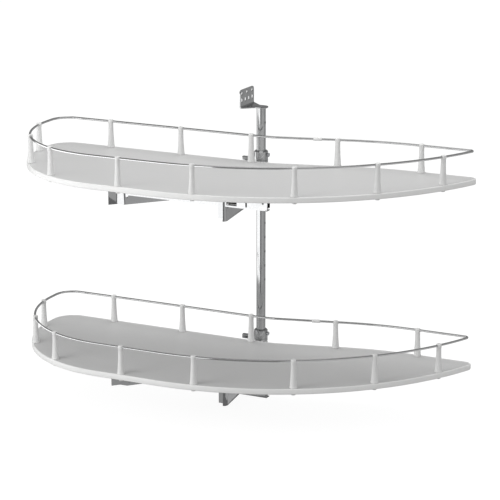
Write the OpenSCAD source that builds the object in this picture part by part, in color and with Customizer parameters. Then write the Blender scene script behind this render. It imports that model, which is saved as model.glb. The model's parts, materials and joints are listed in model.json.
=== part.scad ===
// Blind corner pull out: two kidney trays that swing on one column and slide out on ball rails.
// The origin is on the column's axis at the underside of its foot, X runs along the slides, Z is up.

/* [Column] */
// Outer diameter of the column tube
tube_d = 20; // [18:0.5:22]
// Wall of the column tube
tube_wall = 1.5; // [1:0.1:2]
// Length of the column tube
tube_length = 628; // [600:1:680]
// Diameter of the holes in the row along the tube
row_hole_d = 5; // [4:0.5:6]
// Pitch of the row of holes
row_pitch = 32; // [25:1:34]
// Number of holes in the row
row_count = 12; // [6:1:12]

/* [Foot] */
// Length of the foot plate along X
foot_length = 80; // [74:1:100]
// Width of the foot plate along Y
foot_width = 60; // [54:1:80]
// Thickness of the foot plate
foot_t = 4; // [3:0.5:6]
// Corner radius of the foot plate
foot_corner = 10; // [4:1:15]
// Height of the spigot inside the tube
spigot_h = 30; // [20:1:50]
// Spacing of the foot holes along X
foot_hole_x = 60; // [54:1:64]
// Spacing of the foot holes along Y
foot_hole_y = 40; // [34:1:44]
// Diameter of the foot holes
foot_hole_d = 5.5; // [4:0.5:6.5]

/* [Top bracket] */
// Width of the upright plate along Y
plate_w = 68; // [66:1:90]
// Height of the upright plate above the tube
plate_h = 40; // [38:1:60]
// Sheet thickness of the bracket
plate_t = 2.5; // [2:0.5:4]
// Distance of the plate's outer face from the column axis
plate_reach = 36; // [32:1:50]
// Corner radius at the top of the plate
plate_corner = 7; // [3:1:9]
// Inner radius of the bend at the plate's foot
plate_bend = 2.5; // [1:0.5:4]
// Width of the tongue over the tube
tongue_w = 28; // [24:1:34]
// Reach of the tongue past the column axis
tongue_reach = 15; // [13:0.5:20]
// Diameter of the round holes in the plate
plate_hole_d = 7.5; // [6:0.5:8]
// Pitch of the three round holes
plate_hole_pitch = 25; // [20:1:26]
// Depth of the round holes below the plate's top edge
plate_hole_drop = 8; // [7:0.5:9]
// Width of the upright slots in the plate
slot_w = 6; // [4:0.5:7]
// Length of the upright slots from end to end
slot_length = 11; // [9:0.5:13]
// Pitch of the four slots
slot_pitch = 17; // [14:0.5:18]
// Depth of the slots' middle below the plate's top edge
slot_drop = 23; // [21:0.5:26]
// Diameter of the top screw's shank
top_screw_d = 6; // [5:0.5:8]
// Diameter of the top screw's head
top_head_d = 12; // [10:0.5:14]
// Depth of the top screw's countersunk head
top_head_h = 2.5; // [1.5:0.25:2.5]
// Height of the plug in the top of the tube
plug_h = 20; // [12:1:30]

/* [Trays] */
// Height of the upper tray's top face
upper_top = 520; // [500:1:540]
// Height of the lower tray's top face
lower_top = 115; // [105:1:140]
// Reach of a tray from the column axis to its blind end
blind_reach = 486; // [470:1:520]
// Reach of a tray from the column axis to its tip
tip_reach = 495; // [475:1:515]
// Depth of a tray from its front edge to its back edge beside the column
tray_depth = 340; // [330:1:365]
// Distance of the back edge from the column axis
back_gap = 31.5; // [28:0.5:36]
// Distance by which the wing stands behind the back edge
wing_step = 61; // [50:1:75]
// Slope of the waist between back edge and wing, in degrees
waist_slope = 14.5; // [12:0.5:18]
// Distance along the back edge from the column axis to the waist
waist_start = 37; // [25:1:45]
// Distance by which the flank leans in from the tip
flank_lean = 162; // [140:1:180]
// Radius of the back corner at the blind end
blind_radius = 50; // [30:1:55]
// Radius of the lobe at the blind end
lobe_radius = 272; // [240:1:280]
// Radius of the flank between front edge and tip
flank_radius = 600; // [520:5:640]
// Radius of the tip
tip_radius = 16; // [12:0.5:20]
// Radius of the wing's shoulder
shoulder_radius = 600; // [400:5:640]
// Radius of the waist
waist_radius = 180; // [120:5:220]
// Thickness of a tray at its edge
tray_t = 12; // [11:0.5:16]
// Wall of the edge trim
trim_wall = 3; // [2:0.25:4]
// Rounding of the edge trim's outer corners
trim_round = 2; // [1:0.25:2.5]
// Thickness of the trim's ledge under the board
ledge_t = 1.5; // [1:0.25:2.5]
// Width of the trim's ledge under the board
ledge_w = 5; // [3:0.5:6]

/* [Fence] */
// Height of the fence wire's middle above the tray
wire_rise = 58; // [50:1:70]
// Diameter of the fence wire
wire_d = 5; // [4:0.25:5.5]
// Distance of the wire inside the tray's edge
wire_inset = 9; // [8.5:0.25:10]
// Diameter of a post at its base
post_base_d = 16.5; // [14:0.5:17]
// Diameter of a post at its waist
post_waist_d = 12; // [11:0.5:13]
// Height of a post's waist
post_waist_h = 25; // [18:1:32]
// Diameter of a post at its neck
post_neck_d = 10.5; // [9.5:0.5:11]
// Diameter of a post's head
post_head_d = 11.5; // [11.25:0.25:12.5]
// Height of a post's head
post_head_h = 8; // [7.5:0.5:12]
// Chamfers of a post's foot and head
post_chamfer = 0.5; // [0.25:0.25:1]
// Height of a post's straight foot
post_foot_h = 3; // [2:0.5:6]
// Height of a post above the wire's middle
post_over = 4; // [3.5:0.5:6]
// Diameter of a post's spigot through the tray
peg_d = 6; // [5:0.5:7]
// Diameter of the cap under the tray
cap_d = 10; // [9:0.5:11]
// Height of the cap under the tray
cap_h = 3; // [2:0.25:3.5]
// Length of the sleeve that joins the wire's ends
sleeve_length = 18; // [12:1:30]
// Outer diameter of the sleeve
sleeve_d = 7.5; // [7.25:0.25:9]

/* [Swing frame] */
// Outer diameter of the hub sleeve
hub_d = 30; // [28:0.5:34]
// Wall of the hub sleeve
hub_wall = 2; // [1.5:0.25:2.5]
// Height of the hub's top below the tray's top face
hub_drop = 10; // [9:0.5:14]
// Depth of the frame below the tray's underside
frame_depth = 73; // [70:1:78]
// Thickness of the arms' sheet
arm_t = 2.5; // [2:0.25:3]
// Distance from the tray's underside to the top of the arms
arm_clear = 5; // [4.5:0.25:8]
// X of the long arm's bend
long_arm_x = -210; // [-225:1:-200]
// X of the short arm's bend
short_arm_x = 30; // [24:1:44]
// Inner radius of the bends at an arm's end
arm_bend = 5; // [3:0.5:7]
// Length of the flange at the long arm's end
long_flange = 17; // [16:1:30]
// Length of the tail beyond the long arm's flange
long_tail = 20; // [15:1:30]
// Height of the long arm's underside above the frame's underside
long_rise = 11; // [6:0.5:14]
// Length of the flange at the short arm's end
short_flange = 17; // [16:1:30]
// Height of the short arm's flange above the frame's underside
flange_lift = 6; // [2:0.5:8]
// Diameter of the relief hole in the corner of an arm's notch
relief_d = 7; // [5:0.5:9]
// Width of the stiffening lip along the bottom of an arm
lip_w = 12; // [8:1:16]
// Length of the stiffening lip
lip_length = 84; // [60:2:120]
// Distance from the hub over which the stiffening lip widens
lip_gap = 14; // [10:1:24]
// Thickness of a hub bush's flange
bush_flange_t = 1.7; // [1:0.1:2]
// Length of a hub bush inside the sleeve
bush_length = 18; // [12:1:26]
// Shank diameter of the rivets
rivet_d = 4; // [3:0.5:5]
// Head diameter of the rivets
rivet_head_d = 8; // [7:0.5:9]
// Head height of the rivets
rivet_head_h = 2; // [1:0.25:2.5]
// Distance of the glide shoes from the column axis
glide_at = 78; // [70:1:95]
// Length of a glide shoe along its arm
glide_length = 24; // [16:1:30]
// Width of a glide shoe
glide_w = 14; // [10:0.5:18]
// Depth of a glide shoe's groove over its arm
glide_grip = 6; // [4:0.5:9]

/* [Collars] */
// Outer diameter of the support collar
support_d = 32; // [30:0.5:36]
// Height of the support collar
support_h = 14; // [12:0.5:15]
// Outer diameter of the keeper collar
keeper_d = 30; // [28:0.5:34]
// Height of the keeper collar's top above the tray
keeper_rise = 18; // [14:0.5:30]
// Chamfer at the keeper collar's top
keeper_chamfer = 2; // [1:0.25:3]
// Reach of the keeper's lug from the column axis
lug_reach = 45; // [34:1:48]
// Width of the keeper's lug
lug_w = 10; // [8:0.5:14]
// Height of the keeper's lug
lug_h = 9; // [6:0.5:10]
// Shank diameter of the collar screws
collar_screw_d = 5; // [4:0.5:6]
// Head diameter of the collar screws
collar_head_d = 8.5; // [7:0.5:10]
// Head height of the collar screws
collar_head_h = 4; // [3:0.5:5]

/* [Slide] */
// Length of the outer rail
rail_length = 370; // [350:1:400]
// X of the outer rail's open end
rail_end = 125; // [118:1:134]
// Distance of the outer rail's web from the column axis
rail_front = 234; // [226:1:242]
// Height of the outer rail
rail_h = 35; // [33:0.5:38]
// Depth of the outer rail
rail_w = 13; // [12:0.25:14]
// Sheet thickness of the rails
rail_t = 1.5; // [1.2:0.1:1.8]
// Distance from the tray's underside to the outer rail's top
rail_drop = 6; // [4:0.25:7]
// Depth of a rail's lips, which hold the ball grooves
rail_lip = 1.8; // [1.5:0.1:2.2]
// Diameter of the holes near the outer rail's ends
rail_hole_d = 4; // [3:0.5:5]
// Distance of these holes from the ends
rail_hole_at = 10; // [8:0.5:14]
// Width of the upright slot in the outer rail's web
rail_slot_w = 3.5; // [2.5:0.5:5]
// Length of the upright slot
rail_slot_h = 13; // [10:0.5:18]
// Distance of the upright slot from the open end
rail_slot_at = 50; // [40:1:60]
// Length of the window in the web beside the short arm
window_length = 24; // [16:1:30]
// Height of the window
window_h = 16; // [12:0.5:20]
// Diameter of the balls
ball_d = 5; // [4.5:0.1:5.5]
// Depth of the ball grooves
groove_depth = 0.8; // [0.5:0.1:1]
// Number of balls in a row
ball_count = 8; // [5:1:9]
// Pitch of the balls
ball_pitch = 13; // [11:0.5:13.5]
// Thickness of the ball cage
cage_t = 1; // [0.8:0.1:1.2]
// Length of the ball cage
cage_length = 110; // [106:1:118]
// Pull of a tray along its slide
pull = 240; // [200:1:246]
// Shortening of the inner rail at its stop
stop_length = 12; // [8:0.5:16]
// Leg of the angle under the tray
angle_leg = 28; // [24:1:36]
// Sheet thickness of the angle
angle_t = 2; // [1.5:0.25:2.5]
// Length of the angle
angle_length = 300; // [260:1:320]
// Distance of the angle's end inside the rail's open end
angle_inset = 10; // [5:1:20]
// Shank diameter of the angle's screws
screw_d = 4; // [3:0.5:5]
// Head diameter of the angle's screws
screw_head_d = 8; // [7:0.5:9]
// Head height of the angle's screws
screw_head_h = 2.5; // [2:0.25:3]
// Length of the angle's screws inside the board
screw_bite = 7; // [5:0.5:8]
// Number of screws along the angle
screw_count = 4; // [2:1:6]

/* [Clearances] */
// Radial play of the bushes on the tube
run_play = 0.06; // [0.03:0.01:0.1]
// Radial play of parts that are pushed together
push_play = 0.05; // [0.03:0.01:0.1]
// Axial play of a hub between its collars
axial_play = 0.3; // [0.2:0.05:0.4]
// Play of the balls in their grooves
ball_play = 0.08; // [0.05:0.01:0.1]
// Gap between the wire and what it passes through
wire_play = 0.35; // [0.3:0.05:0.4]
// Gap between the ball cage and the outer rail's web
cage_play = 0.5; // [0.3:0.1:0.6]
// Gap between the ball cage and the inner rail's lips
lip_play = 1; // [0.6:0.1:1.2]
// Distance by which the inner rail's web stands out of the outer rail
web_proud = 0.5; // [0.3:0.1:1]
// Gap between a glide shoe and the tray above it
glide_play = 0.3; // [0.25:0.05:0.4]

/* [Hidden] */
$fn = 48;
// Greatest height of an arc over its chords in the outlines
sag = 0.15;
// Small length by which a cutting body passes the face that it cuts
over = 1;
chrome = "silver";
plastic = "whitesmoke";
black = "dimgray";

// Directions and lines
function unit(v) = v / norm(v);
function flat(p) = [p[0], p[1]];
function left_of(d) = [-d[1], d[0]];
function turned(v, a) = [v[0] * cos(a) - v[1] * sin(a), v[0] * sin(a) + v[1] * cos(a)];
function turn_between(d, e) = atan2(d[0] * e[1] - d[1] * e[0], d * e);
function arc_steps(turn, r) = max(1, ceil(abs(turn) / (2 * acos(1 - sag / r))));

// A corner b between its neighbours a and c, rounded to its radius, as points with their left normals
function rounded(a, b, c) =
  let (
    d = unit(flat(b) - flat(a)),
    e = unit(flat(c) - flat(b)),
    turn = turn_between(d, e),
    r = b[2],
    side = sign(turn),
    start = flat(b) - d * r * tan(abs(turn) / 2),
    centre = start + left_of(d) * r * side,
    steps = r > 0 ? arc_steps(turn, r) : 0
  )
  r > 0
    ? [for (k = [0 : steps]) let (n = turned(left_of(d), turn * k / steps)) [centre - n * r * side, n]]
    : [[flat(b), left_of(d)]];
function closed_line(p) =
  [for (i = [0 : len(p) - 1]) each rounded(p[(i + len(p) - 1) % len(p)], p[i], p[(i + 1) % len(p)])];
function open_line(p) =
  concat(
    [[flat(p[0]), left_of(unit(flat(p[1]) - flat(p[0])))]],
    [for (i = [1 : len(p) - 2]) each rounded(p[i - 1], p[i], p[i + 1])],
    [[flat(p[len(p) - 1]), left_of(unit(flat(p[len(p) - 1]) - flat(p[len(p) - 2])))]]
  );
function shifted(line, d) = [for (s = line) s[0] + s[1] * d];
function backwards(v) = [for (i = [len(v) - 1 : -1 : 0]) v[i]];

// Places along a closed line, by distance from its first point
function next_of(q, i) = q[(i + 1) % len(q)];
function run_starts(q) =
  [for (i = 0, s = 0; i < len(q); s = s + norm(next_of(q, i) - q[i]), i = i + 1) s];
function line_length(q) = run_starts(q)[len(q) - 1] + norm(q[0] - q[len(q) - 1]);
function run_at(q, s) = max([for (i = [0 : len(q) - 1]) if (run_starts(q)[i] <= s) i]);
function place_at(q, s) = let (i = run_at(q, s)) q[i] + unit(next_of(q, i) - q[i]) * (s - run_starts(q)[i]);
function heading_at(q, s) = let (i = run_at(q, s), d = next_of(q, i) - q[i]) atan2(d[1], d[0]);

// Levels of the column
tube_r = tube_d / 2;
tube_bore_r = tube_r - tube_wall;
tube_top = foot_t + tube_length;
// The top screw's head ends inside the sheet
top_sink = min(top_head_h, plate_t);

// Outline of a tray, counter-clockwise from the back corner at the blind end
front_y = -back_gap - tray_depth;
wing_y = -back_gap + wing_step;
flank_foot = [tip_reach - flank_lean, front_y];
flank_edge = [tip_reach, wing_y] - flank_foot;
flank_turn = atan2(flank_edge[1], flank_edge[0]);
tip_run = tip_radius * tan((180 - flank_turn) / 2);
flank_r = min(flank_radius, (norm(flank_edge) - tip_run - over) / tan(flank_turn / 2));
lobe_r = min(lobe_radius, tray_depth - blind_radius - over);
tray_line = closed_line([
  [-blind_reach, -back_gap, blind_radius],
  [-blind_reach, front_y, lobe_r],
  [flank_foot[0], flank_foot[1], flank_r],
  [tip_reach, wing_y, tip_radius],
  [waist_start + wing_step / tan(waist_slope), wing_y, shoulder_radius],
  [waist_start, -back_gap, waist_radius]
]);
wire_line = shifted(tray_line, wire_inset);
// Places of the fence posts and the sleeve along the wire, in percent from the blind end's back corner
post_shares = [5.5, 10.9, 16.6, 24.5, 31.9, 41.1, 48.7, 55.6, 64.5, 72.6, 81, 88.5, 96.2];
sleeve_share = 74.5;
wire_length = line_length(wire_line);
post_stations = post_shares * wire_length / 100;
sleeve_station = sleeve_share * wire_length / 100;

// Levels under a tray, measured from its top face
under = -tray_t;
arm_top = under - arm_clear;
frame_bottom = under - frame_depth;
rail_mid = under - rail_drop - rail_h / 2;
rail_low = rail_mid - rail_h / 2;

// Hub and bushes
hub_r = hub_d / 2;
hub_bore_r = hub_r - hub_wall;
bush_bore_r = tube_r + run_play;
keeper_low = -hub_drop + bush_flange_t + axial_play;
keeper_screw_rise = keeper_rise / 2;
support_low = frame_bottom - bush_flange_t - axial_play - support_h;

// Sections of the slide, from the web's outer face inwards
rail_x = rail_end - rail_length;
ball_r = ball_d / 2;
ball_y = rail_t + (rail_w - rail_t) / 2;
lip_face = rail_h / 2 - rail_lip;
ball_z = lip_face - ball_r + groove_depth;
groove_r = ball_r + ball_play;
inner_face = ball_z - ball_r + groove_depth;
cage_y = rail_t + cage_play;
inner_y = cage_y + cage_t + lip_play;
inner_back = rail_w + web_proud;
bumper_length = stop_length / 2;
cage_x = rail_end - bumper_length - 2 * over - (pull + cage_length) / 2;
angle_x = rail_end - angle_inset - angle_length;
angle_y = -rail_front + inner_back;
screw_y = angle_y + angle_t + (angle_leg - angle_t) / 2;
function screw_x(i) = angle_x + angle_length * (i + 0.5) / screw_count;

// A rivet is in the middle of a flange with a tail, and nearer to the end of one without
function rivet_x(bend_x, flange, tail) = bend_x - flange / 2 - (tail > 0 ? 0 : arm_t);
rivet_places = [rivet_x(long_arm_x, long_flange, long_tail), rivet_x(short_arm_x, short_flange, 0)];

// A rounded plate in the plane
module rounded_plate(length, width, corner) {
  polygon([for (s = closed_line([
    [-length / 2, -width / 2, corner],
    [length / 2, -width / 2, corner],
    [length / 2, width / 2, corner],
    [-length / 2, width / 2, corner]
  ])) s[0]]);
}

// A profile of [inset, height] points carried once round the tray's outline
module round_tray(profile) {
  m = len(profile);
  n = len(tray_line);
  polyhedron(
    points = [for (s = tray_line, q = profile) [s[0][0] + s[1][0] * q[0], s[0][1] + s[1][1] * q[0], q[1]]],
    faces = [for (i = [0 : n - 1], j = [0 : m - 1])
      [i * m + j, i * m + (j + 1) % m, (i + 1) % n * m + (j + 1) % m, (i + 1) % n * m + j]]
  );
}

// Cuts and solids along the wire at a station
module along_wire(station) {
  p = place_at(wire_line, station);
  translate([p[0], p[1], 0]) rotate([0, 0, heading_at(wire_line, station)]) children();
}

// Column
module column_tube() {
  color(chrome) difference() {
    translate([0, 0, foot_t]) cylinder(r = tube_r, h = tube_length);
    translate([0, 0, foot_t - over]) cylinder(r = tube_bore_r, h = tube_length + 2 * over);
    for (k = [1 : row_count])
      translate([0, 0, tube_top - k * row_pitch]) rotate([0, 90, 0]) cylinder(d = row_hole_d, h = tube_d);
  }
}

module foot_plate() {
  color(chrome) difference() {
    union() {
      linear_extrude(foot_t) rounded_plate(foot_length, foot_width, foot_corner);
      cylinder(r = tube_bore_r - push_play, h = foot_t + spigot_h);
    }
    for (x = [-1, 1], y = [-1, 1])
      translate([x * foot_hole_x / 2, y * foot_hole_y / 2, -over])
        cylinder(d = foot_hole_d, h = foot_t + 2 * over);
  }
}

module top_plug() {
  color(black) translate([0, 0, tube_top - plug_h]) difference() {
    cylinder(r = tube_bore_r - push_play, h = plug_h);
    translate([0, 0, -over]) cylinder(d = top_screw_d + 2 * push_play, h = plug_h + 2 * over);
  }
}

// Upright plate in its own plane, with its foot on the Y axis
module bracket_plate() {
  polygon([for (s = closed_line([
    [-plate_w / 2, 0, 0],
    [plate_w / 2, 0, 0],
    [plate_w / 2, plate_h, plate_corner],
    [-plate_w / 2, plate_h, plate_corner]
  ])) s[0]]);
}

module bracket_tongue() {
  polygon([for (s = closed_line([
    [-plate_reach, -plate_w / 2, 0],
    [-plate_reach + plate_t + plate_bend, -plate_w / 2, 0],
    [-tube_r, -tongue_w / 2, tongue_w / 4],
    [tongue_reach, -tongue_w / 2, tongue_w / 2 - over],
    [tongue_reach, tongue_w / 2, tongue_w / 2 - over],
    [-tube_r, tongue_w / 2, tongue_w / 4],
    [-plate_reach + plate_t + plate_bend, plate_w / 2, 0],
    [-plate_reach, plate_w / 2, 0]
  ])) s[0]]);
}

// Sheet of the bracket from the side, with its bend
module bracket_sheet() {
  plate_x = -plate_reach + plate_t / 2;
  line = open_line([
    [tongue_reach + over, plate_t / 2, 0],
    [plate_x, plate_t / 2, plate_bend + plate_t / 2],
    [plate_x, plate_h + over, 0]
  ]);
  polygon(concat(shifted(line, plate_t / 2), backwards(shifted(line, -plate_t / 2))));
}

module top_bracket() {
  slot_travel = slot_length - slot_w;
  color(chrome) translate([0, 0, tube_top]) difference() {
    intersection() {
      translate([0, plate_w / 2, 0]) rotate([90, 0, 0]) linear_extrude(plate_w) bracket_sheet();
      linear_extrude(plate_h) bracket_tongue();
      translate([-plate_reach, 0, 0]) rotate([90, 0, 90]) linear_extrude(plate_reach + tongue_reach) bracket_plate();
    }
    translate([0, 0, -over]) cylinder(d = top_screw_d + 2 * push_play, h = plate_t + 2 * over);
    translate([0, 0, plate_t - top_sink])
      cylinder(d1 = top_screw_d + 2 * push_play, d2 = top_head_d + 2 * push_play, h = top_sink);
    for (i = [-1 : 1])
      translate([-plate_reach - over, i * plate_hole_pitch, plate_h - plate_hole_drop]) rotate([0, 90, 0])
        cylinder(d = plate_hole_d, h = plate_t + 2 * over);
    for (i = [-1.5 : 1.5])
      translate([-plate_reach - over, i * slot_pitch, plate_h - slot_drop]) {
        for (k = [-1, 1])
          translate([0, 0, k * slot_travel / 2]) rotate([0, 90, 0])
            cylinder(d = slot_w, h = plate_t + 2 * over);
        translate([0, -slot_w / 2, -slot_travel / 2]) cube([plate_t + 2 * over, slot_w, slot_travel]);
      }
  }
}

module top_screw() {
  color(chrome) translate([0, 0, tube_top + plate_t]) {
    translate([0, 0, -plate_t - plug_h]) cylinder(d = top_screw_d, h = plug_h + plate_t - top_sink);
    translate([0, 0, -top_sink]) cylinder(d1 = top_screw_d, d2 = top_head_d, h = top_sink);
  }
}

// Collars
module support_collar(top) {
  color(chrome) translate([0, 0, top + support_low]) difference() {
    cylinder(d = support_d, h = support_h);
    translate([0, 0, -over]) cylinder(r = tube_r + push_play, h = support_h + 2 * over);
    translate([0, 0, support_h / 2]) rotate([0, 90, 0])
      cylinder(d = collar_screw_d + 2 * push_play, h = support_d);
  }
}

module keeper_collar(top) {
  height = keeper_rise - keeper_low;
  color(chrome) translate([0, 0, top]) difference() {
    union() {
      translate([0, 0, keeper_low]) cylinder(d = keeper_d, h = height - keeper_chamfer);
      translate([0, 0, keeper_rise - keeper_chamfer])
        cylinder(d1 = keeper_d, d2 = keeper_d - 2 * keeper_chamfer, h = keeper_chamfer);
      translate([-lug_reach, -lug_w / 2, keeper_low]) cube([lug_reach, lug_w, lug_h]);
    }
    translate([0, 0, keeper_low - over]) cylinder(r = tube_r + push_play, h = height + 2 * over);
    translate([0, 0, keeper_screw_rise]) rotate([0, 90, 0])
      cylinder(d = collar_screw_d + 2 * push_play, h = keeper_d);
  }
}

// A screw that presses on the tube, with its head outside a collar
module collar_screw(outer_d) {
  rotate([0, 90, 0]) {
    translate([0, 0, tube_r]) cylinder(d = collar_screw_d, h = outer_d / 2 - tube_r);
    difference() {
      translate([0, 0, outer_d / 2]) cylinder(d = collar_head_d, h = collar_head_h);
      translate([0, 0, outer_d / 2 + collar_head_h / 2])
        cylinder(d = collar_head_d / 2, h = collar_head_h, $fn = 6);
    }
  }
}

module collar_screws() {
  color(chrome) for (top = [upper_top, lower_top]) {
    translate([0, 0, top + keeper_screw_rise]) collar_screw(keeper_d);
    translate([0, 0, top + support_low + support_h / 2]) collar_screw(support_d);
  }
}

// Swing frame
module hub(top) {
  height = -hub_drop - frame_bottom;
  color(chrome) translate([0, 0, top + frame_bottom]) difference() {
    cylinder(r = hub_r, h = height);
    translate([0, 0, -over]) cylinder(r = hub_bore_r, h = height + 2 * over);
  }
}

// A flanged bush that stands on its flange
module bush() {
  difference() {
    union() {
      cylinder(r = hub_r, h = bush_flange_t);
      cylinder(r = hub_bore_r - push_play, h = bush_flange_t + bush_length);
    }
    translate([0, 0, -over]) cylinder(r = bush_bore_r, h = bush_flange_t + bush_length + 2 * over);
  }
}

module bushes(top) {
  color(plastic) {
    translate([0, 0, top + frame_bottom - bush_flange_t]) bush();
    translate([0, 0, top - hub_drop + bush_flange_t]) mirror([0, 0, 1]) bush();
  }
}

// A folded arm that runs under the slide and turns in front of its web
module arm(top, bend_x, flange, tail, lift, rise) {
  flange_y = -rail_front - arm_t / 2;
  bend_r = arm_bend + arm_t / 2;
  flange_x = bend_x - flange;
  low = frame_bottom + rise;
  way = unit([bend_x, flange_y]);
  tail_end = [flange_x, flange_y] + way * tail;
  relief_at = norm([bend_x, flange_y]) - bend_r * tan(abs(turn_between(way, [-1, 0])) / 2) - relief_d / 2;
  line = open_line(concat(
    [[0, 0, 0], [bend_x, flange_y, bend_r]],
    tail > 0 ? [[flange_x, flange_y, bend_r], [tail_end[0], tail_end[1], 0]] : [[flange_x, flange_y, 0]]
  ));
  right = backwards(shifted(line, -arm_t / 2));
  left = shifted(line, arm_t / 2);
  lip_start = left[0] + way * (hub_r + lip_gap);
  lip_end = lip_start + way * lip_length;
  lip_side = line[0][1] * lip_w;
  past_lip = [for (i = [1 : len(left) - 1]) left[i]];
  lip_left = concat([left[0], lip_start + lip_side, lip_end + lip_side, lip_end], past_lip);
  notch_back = angle_y + angle_t + angle_leg;
  color(chrome) translate([0, 0, top]) difference() {
    union() {
      translate([0, 0, low]) linear_extrude(arm_t) polygon(concat(lip_left, right));
      translate([0, 0, low + arm_t]) linear_extrude(arm_top - low - arm_t) polygon(concat(left, right));
    }
    translate([0, 0, frame_bottom - over]) cylinder(r = hub_r, h = frame_depth);
    translate([-blind_reach, -rail_front, rail_low])
      cube([2 * blind_reach, notch_back + rail_front + over, frame_depth]);
    if (lift > 0)
      translate([flange_x - over, -rail_front - 2 * arm_t, low - over])
        cube([flange - arm_bend - arm_t + over, 2 * arm_t, lift + over]);
    rotate([0, 0, atan2(way[1], way[0])]) translate([relief_at, 2 * arm_t, rail_low - relief_d / 4])
      rotate([90, 0, 0]) cylinder(d = relief_d, h = 4 * arm_t);
    translate([rivet_x(bend_x, flange, tail), 0, rail_mid]) rotate([90, 0, 0])
      cylinder(d = rivet_d + 2 * push_play, h = rail_front + 2 * arm_t);
  }
}

module long_arm(top) { arm(top, long_arm_x, long_flange, long_tail, 0, long_rise); }
module short_arm(top) { arm(top, short_arm_x, short_flange, 0, flange_lift, 0); }

// Rivets through the arms' flanges and the outer rail's web
module rivets(top) {
  color(chrome) for (x = rivet_places)
    translate([x, -rail_front, top + rail_mid]) rotate([90, 0, 0]) {
      translate([0, 0, -rail_t]) cylinder(d = rivet_d, h = arm_t + rail_t);
      translate([0, 0, arm_t]) cylinder(d = rivet_head_d, h = rivet_head_h);
    }
}

// Plastic shoes that straddle the arms and carry the back of the tray
module glides(top) {
  height = arm_clear - glide_play + glide_grip;
  color(black) for (x = [long_arm_x, short_arm_x])
    translate([0, 0, top + arm_top - glide_grip]) rotate([0, 0, atan2(-rail_front - arm_t / 2, x)])
      translate([glide_at, 0, 0]) difference() {
        translate([-glide_length / 2, -glide_w / 2, 0]) cube([glide_length, glide_w, height]);
        translate([-glide_length, -arm_t / 2 - push_play, -over])
          cube([2 * glide_length, arm_t + 2 * push_play, glide_grip + over]);
      }
}

// Slide
// Places a section drawn in [depth, height] along X, with its web at the front
module along_rail(top, x, length) {
  translate([x, -rail_front, top + rail_mid]) rotate([90, 0, 90]) linear_extrude(length) children();
}

module grooves() {
  for (z = [-ball_z, ball_z])
    translate([ball_y, z]) circle(r = groove_r);
}

module outer_section() {
  difference() {
    translate([0, -rail_h / 2]) square([rail_w, rail_h]);
    translate([rail_t, -lip_face]) square([rail_w, 2 * lip_face]);
    grooves();
  }
}

module inner_section() {
  difference() {
    translate([inner_y, -inner_face]) square([inner_back - inner_y, 2 * inner_face]);
    translate([0, -inner_face + rail_lip]) square([inner_back - rail_t, 2 * (inner_face - rail_lip)]);
    grooves();
  }
}

// A cut through the outer rail's web, from just above its lower lip
module web_cut(top, x, length, height) {
  translate([x, -rail_front - over, top + rail_low + 2 * rail_lip])
    cube([length, rail_t + 2 * over, height]);
}

module outer_rail(top) {
  color(chrome) difference() {
    along_rail(top, rail_x, rail_length) outer_section();
    for (x = rivet_places)
      translate([x, -rail_front + rail_w, top + rail_mid]) rotate([90, 0, 0])
        cylinder(d = rivet_d + 2 * push_play, h = rail_w + over);
    for (x = [rail_end - rail_hole_at, rail_x + rail_hole_at])
      translate([x, -rail_front + rail_t + over, top + rail_mid - rail_hole_d / 2]) rotate([90, 0, 0])
        cylinder(d = rail_hole_d, h = rail_t + 2 * over);
    web_cut(top, rail_end - rail_slot_at, rail_slot_w, rail_slot_h);
    web_cut(top, short_arm_x + over, window_length, window_h);
  }
}

// Stops in the outer rail: a block behind the inner rail and a bumper at the open end
module rail_stops(top) {
  color(black) {
    translate([rail_x, -rail_front + rail_t, top + rail_mid - lip_face / 2])
      cube([stop_length - over, rail_w - rail_t, lip_face]);
    translate([rail_end - bumper_length, -rail_front + rail_t, top + rail_mid - lip_face / 2])
      cube([bumper_length, inner_y - rail_t - over / 2, lip_face]);
  }
}

function ball_x(i) = cage_x + (i - (ball_count - 1) / 2) * ball_pitch;

module ball_cage(top) {
  half = ball_z + cage_t / 2;
  color(black) difference() {
    along_rail(top, cage_x - cage_length / 2, cage_length) difference() {
      translate([cage_y, -half]) square([rail_w - over - cage_y, 2 * half]);
      translate([cage_y + cage_t, -half + cage_t]) square([rail_w, 2 * (half - cage_t)]);
    }
    for (i = [0 : ball_count - 1], z = [-ball_z, ball_z])
      translate([ball_x(i), -rail_front + ball_y, top + rail_mid + z - cage_t])
        cylinder(r = ball_r + push_play, h = 2 * cage_t);
  }
}

module balls(top) {
  color(chrome) for (i = [0 : ball_count - 1], z = [-ball_z, ball_z])
    translate([ball_x(i), -rail_front + ball_y, top + rail_mid + z]) sphere(r = ball_r);
}

// Tray
module inner_rail(top) {
  color(chrome) along_rail(top, rail_x + stop_length, rail_length - stop_length) inner_section();
}

// Angle between the inner rail's web and the tray's underside
module angle(top) {
  color(chrome) difference() {
    union() {
      translate([angle_x, angle_y, top + rail_mid - inner_face])
        cube([angle_length, angle_t, under - rail_mid + inner_face]);
      translate([angle_x, angle_y, top + under - angle_t]) cube([angle_length, angle_leg, angle_t]);
    }
    for (i = [0 : screw_count - 1])
      translate([screw_x(i), screw_y, top + under - angle_t - over])
        cylinder(d = screw_d + 2 * push_play, h = angle_t + 2 * over);
  }
}

module angle_screws(top) {
  color(chrome) for (i = [0 : screw_count - 1])
    translate([screw_x(i), screw_y, top + under - angle_t]) {
      cylinder(d = screw_d, h = angle_t + screw_bite);
      translate([0, 0, -screw_head_h]) cylinder(d = screw_head_d, h = screw_head_h);
    }
}

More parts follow.
